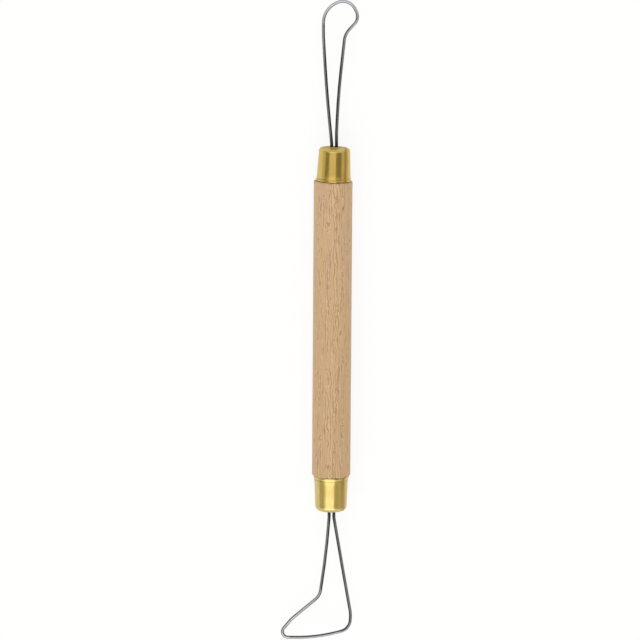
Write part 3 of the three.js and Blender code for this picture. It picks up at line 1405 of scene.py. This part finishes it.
@dataclass
class LoopTool:
    """The whole tool, made from its pieces."""

    layout: Layout
    pieces: list[Object] = field(default_factory=list)

    def ferrules(self) -> list[Ferrule]:
        """The two ferrules, each as it sits on its own end.

        Returns:
            The ferrules.
        """
        layout = self.layout
        toned = DrawnBrassFinish(
            "brass_drawn_and_toned", layout, metal="#CFB66C", warm="#C7AB60", streak_shade=0.8
        )
        polished = DrawnBrassFinish(
            "brass_drawn_and_polished", layout, metal="#CFBC80", warm="#C8B170",
            streak_shade=0.75,
        )
        return [
            Ferrule(
                layout, End.HOOK, toned, rim_radius=5.47, flare=0.2, corner_radius=1.1,
                end_trim=-0.28, aside=-0.09, lean=1.6, lift=0.03,
            ),
            Ferrule(
                layout, End.FOOT, polished, corner_radius=1.7, end_trim=0.61, dome_angle=6.0,
                lift=-0.28,
            ),
        ]

    def loops(self) -> list[WireLoop]:
        """The two loops.

        Returns:
            The loops.
        """
        layout = self.layout
        # Both wires carry painted light: a highlight on the worn crest, shade on the inner side and a
        # dark edge on the outer flank.
        bright = SteelWireFinish(
            "steel_wire_rubbed_bright", layout, rubbed="#CACDD6", flank_shade=0.3
        )
        foot_steel = SteelWireFinish(
            "steel_wire_drawn_with_painted_light", layout, rubbed="#D3D6DE", flank_shade=0.85
        )
        return [
            WireLoop(
                layout, End.HOOK, bright, HOOK_CORNERS, first_leg_parts=1.0, last_leg_parts=4.3
            ),
            WireLoop(
                layout, End.FOOT, foot_steel, FOOT_CORNERS, first_leg_parts=2.6, last_leg_parts=2.6
            ),
        ]

    def build(self) -> list[Object]:
        """Builds every piece in the order in which the tool is put together.

        Returns:
            The pieces.
        """
        handle = Handle(self.layout, BeechFinish(self.layout))
        self.pieces.append(handle.build())
        for ferrule in self.ferrules():
            self.pieces.append(ferrule.build())
        adhesive = SetAdhesiveFinish(self.layout)
        for loop in self.loops():
            self.pieces.append(loop.build())
            plug = AdhesivePlug(self.layout, loop, handle.hole_radius, adhesive)
            self.pieces.append(plug.build())
        return self.pieces


@dataclass(frozen=True)
class Softbox:
    """A flat, even light that faces the middle of the tool.

    Its tilts from straight up and its widths, along the tool and aside of it, are in degrees, as
    they are seen from the tool. Its distance is in metres.
    """

    name: str
    tilt: Point
    width: Point
    radiance: float
    distance: float = 2.4

    def build(self) -> Object:
        """Hangs the light.

        Returns:
            The light.
        """
        tilt_along, tilt_aside = [math.tan(math.radians(angle)) for angle in self.tilt]
        length, breadth = [
            2.0 * self.distance * math.tan(math.radians(angle / 2)) for angle in self.width
        ]
        light = bpy.data.lights.new(self.name, "AREA")
        light.shape = "RECTANGLE"
        light.size = length
        light.size_y = breadth
        light.energy = math.pi * length * breadth * self.radiance
        lamp = bpy.data.objects.new(self.name, light)
        bpy.context.scene.collection.objects.link(lamp)
        way = Vector((tilt_along, tilt_aside, 1.0)).normalized()
        across = (ALONG - way * ALONG.dot(way)).normalized()
        turned = Matrix((across, way.cross(across), way)).transposed()
        lamp.matrix_world = Matrix.Translation(way * self.distance) @ turned.to_4x4()
        LOG.info("%s: %.0f W", self.name, light.energy)
        return lamp


@dataclass
class Studio:
    """A white floor, three softboxes overhead, and a room that the metal mirrors.

    A key softbox and a wide one hang towards the foot loop, and one hangs over the hook's ferrule.
    Between them and the walls the room's ceiling is dim, and that gap draws the dark bands on the
    brass. The camera stands high above the tool, tilted a little. The floor and the camera's near
    and far limits are in metres.

    The room is told by directions from the tool. The pairs of ways say at which X the room's tones
    turn to those by the foot loop, and where each board starts and is full. board_edge is how far
    aside the boards end, and ceiling_aside, wall_start and wall_full are angles in degrees.
    """

    floor_size: float = 9.0
    floor_colour: str = "#FCFCFB"
    floor_roughness: float = 0.9
    floor_glow: float = 0.86
    floor_shine: float = 0.25
    gap_by_hook: str = "#8C805C"
    gap_by_foot: str = "#CEC69B"
    wall_by_hook: str = "#E5E3DA"
    wall_by_foot: str = "#D1CBAE"
    ceiling_aside: float = 5.3
    wall_start: float = 55.0
    wall_full: float = 64.0
    foot_way: Point = (-0.12, -0.26)
    hook_board: str = "#F0EEE4"
    foot_board: str = "#FFFFF7"
    hook_board_way: Point = (-0.04, 0.16)
    foot_board_way: Point = (-0.33, -0.55)
    board_edge: Point = (0.95, 0.72)
    softboxes: tuple[Softbox, ...] = (
        Softbox("key_softbox", tilt=(-38.0, 8.0), width=(48.0, 58.0), radiance=0.7),
        Softbox("wide_softbox", tilt=(-38.0, 15.0), width=(48.0, 72.0), radiance=0.5),
        Softbox("top_softbox", tilt=(8.0, 10.5), width=(40.0, 48.0), radiance=0.6),
    )
    camera_distance: float = 1500.0
    camera_tilt: float = 10.0
    camera_roll: float = 0.378
    camera_lens: float = 271.04
    camera_limits: Point = (0.05, 50.0)
    camera_target: tuple[float, float, float] = (2.87, 3.8, 6.0)
    sensor: float = 36.0

    def floor_material(self) -> Material:
        """Matt white board. It glows for the camera, so that it is seen as white, and still takes the
        tool's shadow. It glows less for metal, which so mirrors the shadow close to the tool too.

        Returns:
            The material.
        """
        material, tree, shader = new_material("matt_white_board")
        set_inputs(tree, shader, {
            "Base Color": linear(self.floor_colour), "Roughness": self.floor_roughness,
        })
        path = add_node(tree, Kind.LIGHT_PATH).outputs
        mirrored = add_node(
            tree, Kind.MATH, {0: path["Is Glossy Ray"], 1: self.floor_shine}, operation="MULTIPLY"
        )
        seen = add_node(
            tree, Kind.MATH, {0: path["Is Camera Ray"], 1: path["Is Transmission Ray"]},
            operation="MAXIMUM",
        )
        share = add_node(
            tree, Kind.MATH, {0: seen, 1: self.floor_glow, 2: mirrored}, operation="MULTIPLY_ADD"
        )
        glow = add_node(tree, Kind.EMISSION, {"Strength": 1.0})
        mixed = add_node(tree, Kind.MIX_SHADER, {0: share, 1: shader, 2: glow})
        set_inputs(tree, tree.nodes["Material Output"], {"Surface": mixed})
        return material

    def build_floor(self) -> Object:
        """Lays the floor under the tool.

        Returns:
            The floor.
        """
        bm = bmesh.new()
        bmesh.ops.create_grid(bm, x_segments=2, y_segments=2, size=self.floor_size / 2)
        mesh = bpy.data.meshes.new("floor")
        bm.to_mesh(mesh)
        bm.free()
        mesh.materials.append(self.floor_material())
        floor = bpy.data.objects.new("floor", mesh)
        bpy.context.scene.collection.objects.link(floor)
        return floor

    def build_world(self) -> None:
        """The room, the same for every ray: walls, a dimmer ceiling and a pale board at each end."""
        world = bpy.data.worlds.new("room")
        bpy.context.scene.world = world
        world.use_nodes = True
        tree = world.node_tree
        way = add_node(tree, Kind.COORDINATES).outputs["Generated"]
        parts = add_node(tree, Kind.SEPARATE, {"Vector": way}).outputs
        to_foot, by_hook, by_foot = [
            add_node(tree, Kind.MAP_RANGE, {
                "Value": parts["X"], "From Min": start, "From Max": full,
            }) for start, full in (self.foot_way, self.hook_board_way, self.foot_board_way)
        ]
        at_end = add_node(tree, Kind.MATH, {0: by_hook, 1: by_foot}, operation="MAXIMUM")
        aside = add_node(tree, Kind.MATH, {0: parts["Y"]}, operation="ABSOLUTE")
        on_board = add_node(tree, Kind.MAP_RANGE, {
            "Value": aside, "From Min": self.board_edge[0], "From Max": self.board_edge[1],
        })
        to_board = add_node(tree, Kind.MATH, {0: at_end, 1: on_board}, operation="MULTIPLY")
        lean = math.radians(self.ceiling_aside)
        upwards = add_node(
            tree, Kind.MATH, {0: parts["Z"], 1: math.cos(lean)}, operation="MULTIPLY"
        )
        height = add_node(
            tree, Kind.MATH, {0: parts["Y"], 1: math.sin(lean), 2: upwards},
            operation="MULTIPLY_ADD",
        )
        to_wall = add_node(tree, Kind.MAP_RANGE, {
            "Value": height,
            "From Min": math.cos(math.radians(self.wall_start)),
            "From Max": math.cos(math.radians(self.wall_full)),
        })
        gap = Layer(self.gap_by_foot).over(tree, self.gap_by_hook, to_foot)
        wall = Layer(self.wall_by_foot).over(tree, self.wall_by_hook, to_foot)
        board = Layer(self.foot_board).over(tree, self.hook_board, by_foot)
        room = add_node(tree, Kind.MIX, {"Factor": to_wall, "A": gap, "B": wall}, data_type="RGBA")
        room = add_node(
            tree, Kind.MIX, {"Factor": to_board, "A": room, "B": board}, data_type="RGBA"
        )
        set_inputs(tree, tree.nodes["Background"], {"Color": room, "Strength": 1.0})

    def build_camera(self) -> Object:
        """Sets the camera up as it looked down on the tool.

        Returns:
            The camera.
        """
        tilt = math.radians(self.camera_tilt)
        roll = math.radians(self.camera_roll)
        back = Vector((math.sin(tilt), 0.0, math.cos(tilt)))
        up = Vector((
            math.cos(tilt) * math.cos(roll), math.sin(roll), -math.sin(tilt) * math.cos(roll)
        ))
        camera = bpy.data.objects.new("camera", bpy.data.cameras.new("camera"))
        bpy.context.scene.collection.objects.link(camera)
        camera.data.lens = self.camera_lens
        camera.data.sensor_width = self.sensor
        camera.data.clip_start, camera.data.clip_end = self.camera_limits
        target = Vector(self.camera_target) * METRES_PER_MM
        turned = Matrix((up.cross(back), up, back)).transposed().to_4x4()
        stand = target + back * (self.camera_distance * METRES_PER_MM)
        camera.matrix_world = Matrix.Translation(stand) @ turned
        bpy.context.scene.camera = camera
        LOG.info("camera: %.0f mm lens", self.camera_lens)
        return camera

    def build(self) -> None:
        """Builds the studio."""
        self.build_floor()
        self.build_world()
        for softbox in self.softboxes:
            softbox.build()
        self.build_camera()
        bpy.context.scene.view_settings.view_transform = "Standard"


def main() -> None:
    """Builds the studio and then the tool, and reports each piece."""
    logging.basicConfig(level=logging.INFO, format="%(message)s")
    Studio().build()
    for piece in LoopTool(Layout.from_frame()).build():
        LOG.info("%s: %d faces", piece.name, len(piece.data.polygons))


if __name__ == "__main__":
    main()
